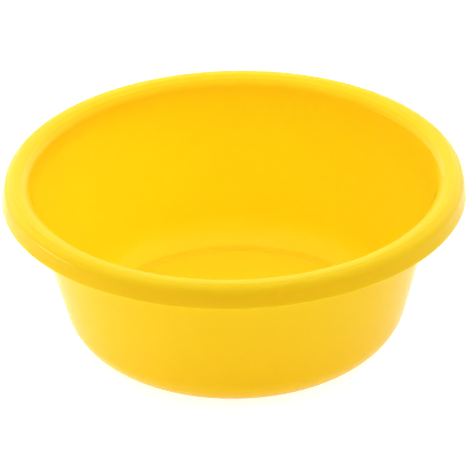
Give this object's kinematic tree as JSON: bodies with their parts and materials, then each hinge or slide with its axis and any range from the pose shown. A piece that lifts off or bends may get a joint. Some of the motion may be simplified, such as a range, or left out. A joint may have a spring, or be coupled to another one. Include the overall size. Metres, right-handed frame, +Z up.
{
  "type": "washing up bowl",
  "caption": "Round plastic washing up bowl: sloping wall, rolled rim with a turned-down skirt to grip, and a raised floor inside a ring foot. Holds water for washing dishes by hand.",
  "frame": {"origin": "centre of the foot's face, at the bottom of the bowl", "axes": "+Z up, along the axis that the bowl is round about; +X and +Y are level and alike"},
  "size_m": [0.36, 0.3598, 0.134],
  "materials": {
    "bowl": "glossy as-moulded polypropylene, yellow right through"
  },
  "bodies": {
    "root": {"bowl": "bowl"}
  },
  "joints": []
}
